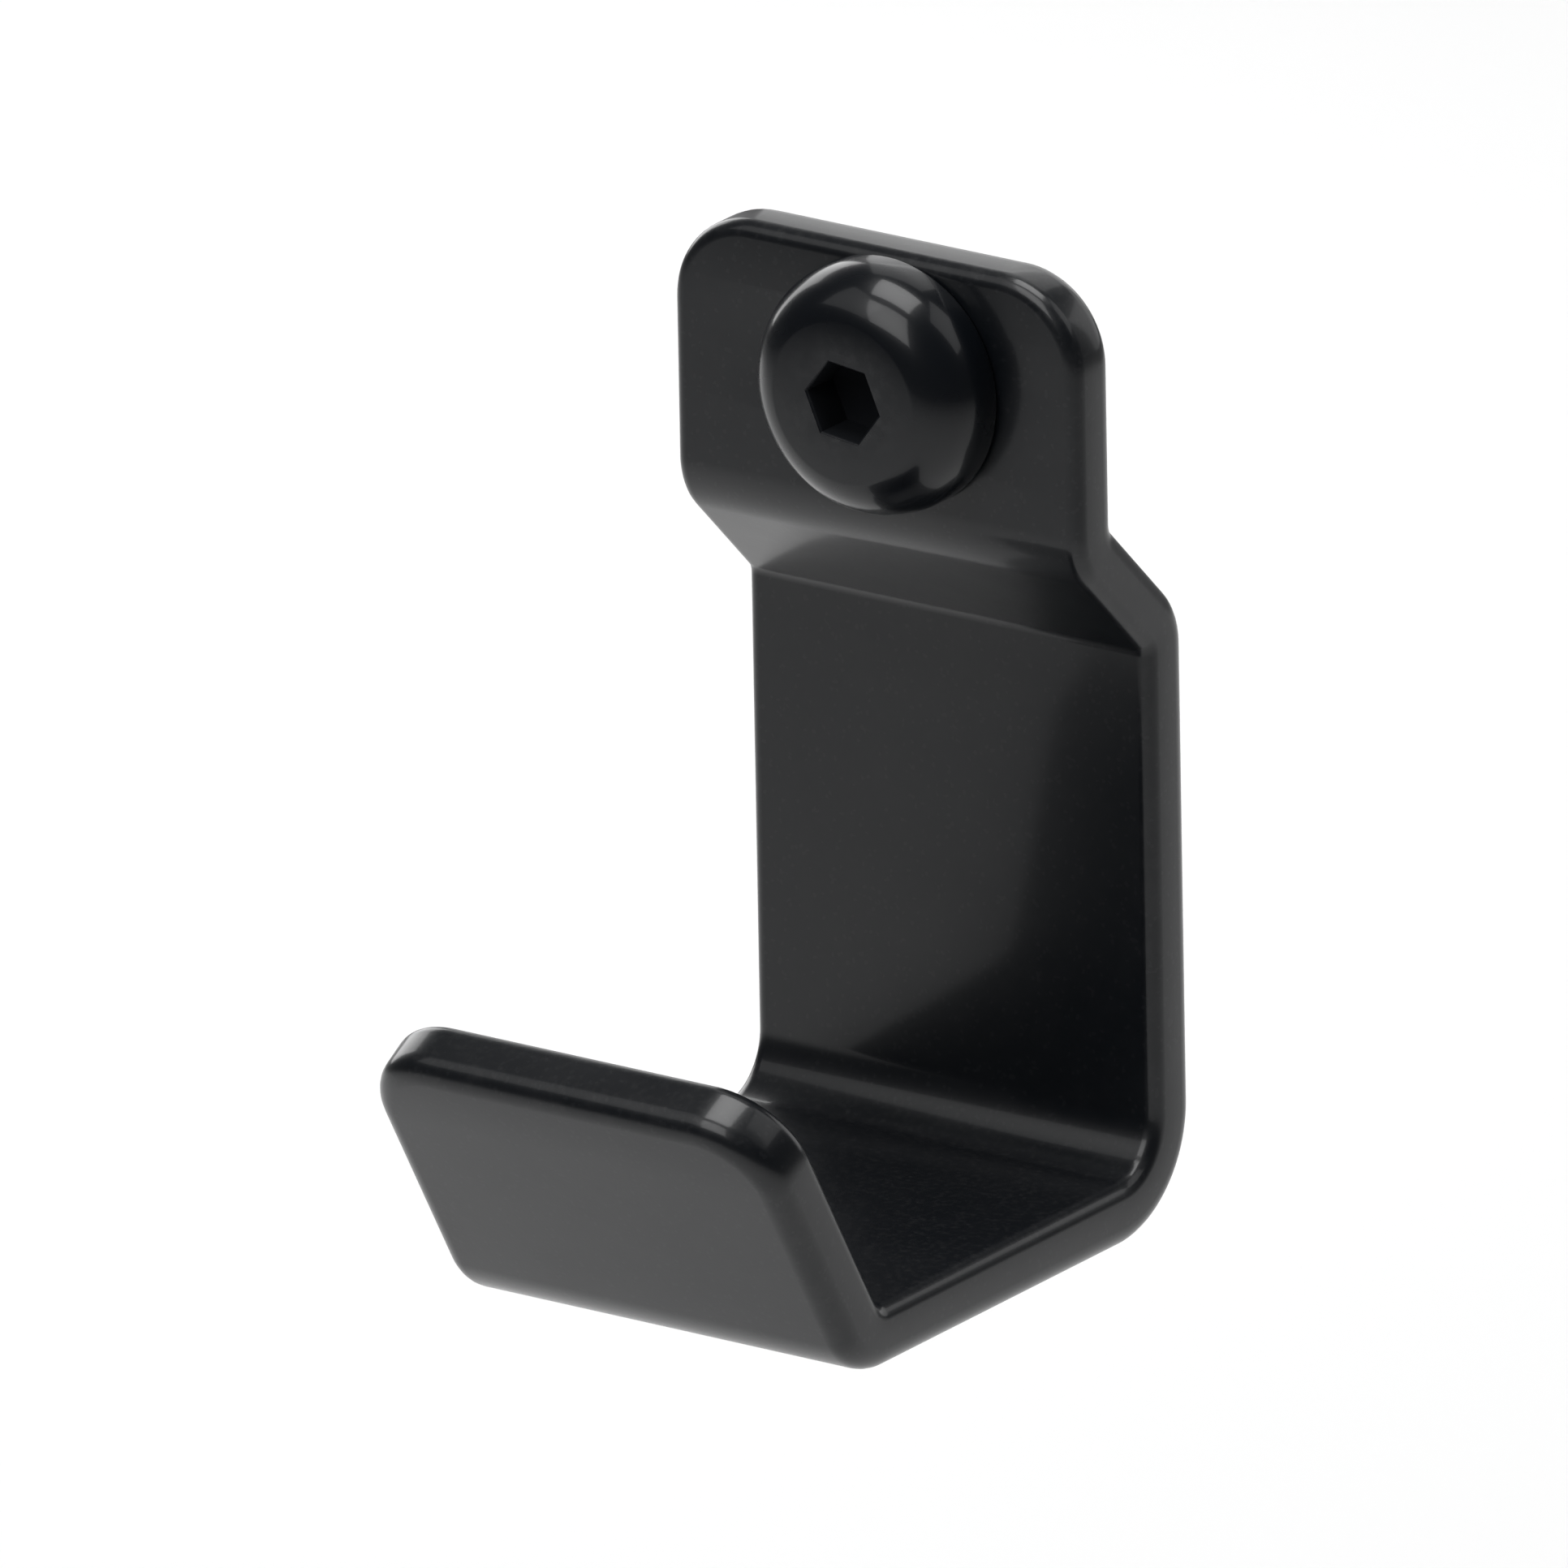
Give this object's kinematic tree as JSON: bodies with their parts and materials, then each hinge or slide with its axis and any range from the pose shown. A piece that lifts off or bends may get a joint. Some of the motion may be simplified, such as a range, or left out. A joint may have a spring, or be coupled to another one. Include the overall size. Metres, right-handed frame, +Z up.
{
  "type": "headphone hook",
  "caption": "J-shaped hook bent from a steel strip, hung from a desk's slotted rail by a button-head screw and a slot nut, to hold a pair of headphones by the headband.",
  "frame": {"origin": "on the screw's axis, in the plane of the strip's rear face, where it bears on the desk's rail", "axes": "+Z up the tab, along the hook's height; +Y from the tab into the rail, along the screw; +X along the rail, across the strip. The hook's mouth opens towards -Y."},
  "size_m": [0.026, 0.0417, 0.0545],
  "materials": {
    "hook_coat": "fine satin black powder coat",
    "screw_black": "black coated steel, semi-gloss",
    "nut_black": "black zinc plate"
  },
  "bodies": {
    "hook": {"hook_strip": "hook_coat"},
    "screw": {"button_screw": "screw_black"},
    "nut": {"slot_nut": "nut_black"}
  },
  "joints": [
    {"name": "nut_travel", "type": "slide", "parent": "hook", "child": "nut", "axis": [0, 1, 0], "range_m": [0, 0.004]},
    {"name": "screw_turn", "type": "hinge", "parent": "hook", "child": "screw", "pos_m": [0, 0, 0], "axis": [0, -1, 0], "range_deg": [0, 1445]}
  ],
  "couplings": [
    {"joint": "screw_turn", "follows": "nut_travel", "rad_per_m": 6283.2}
  ]
}
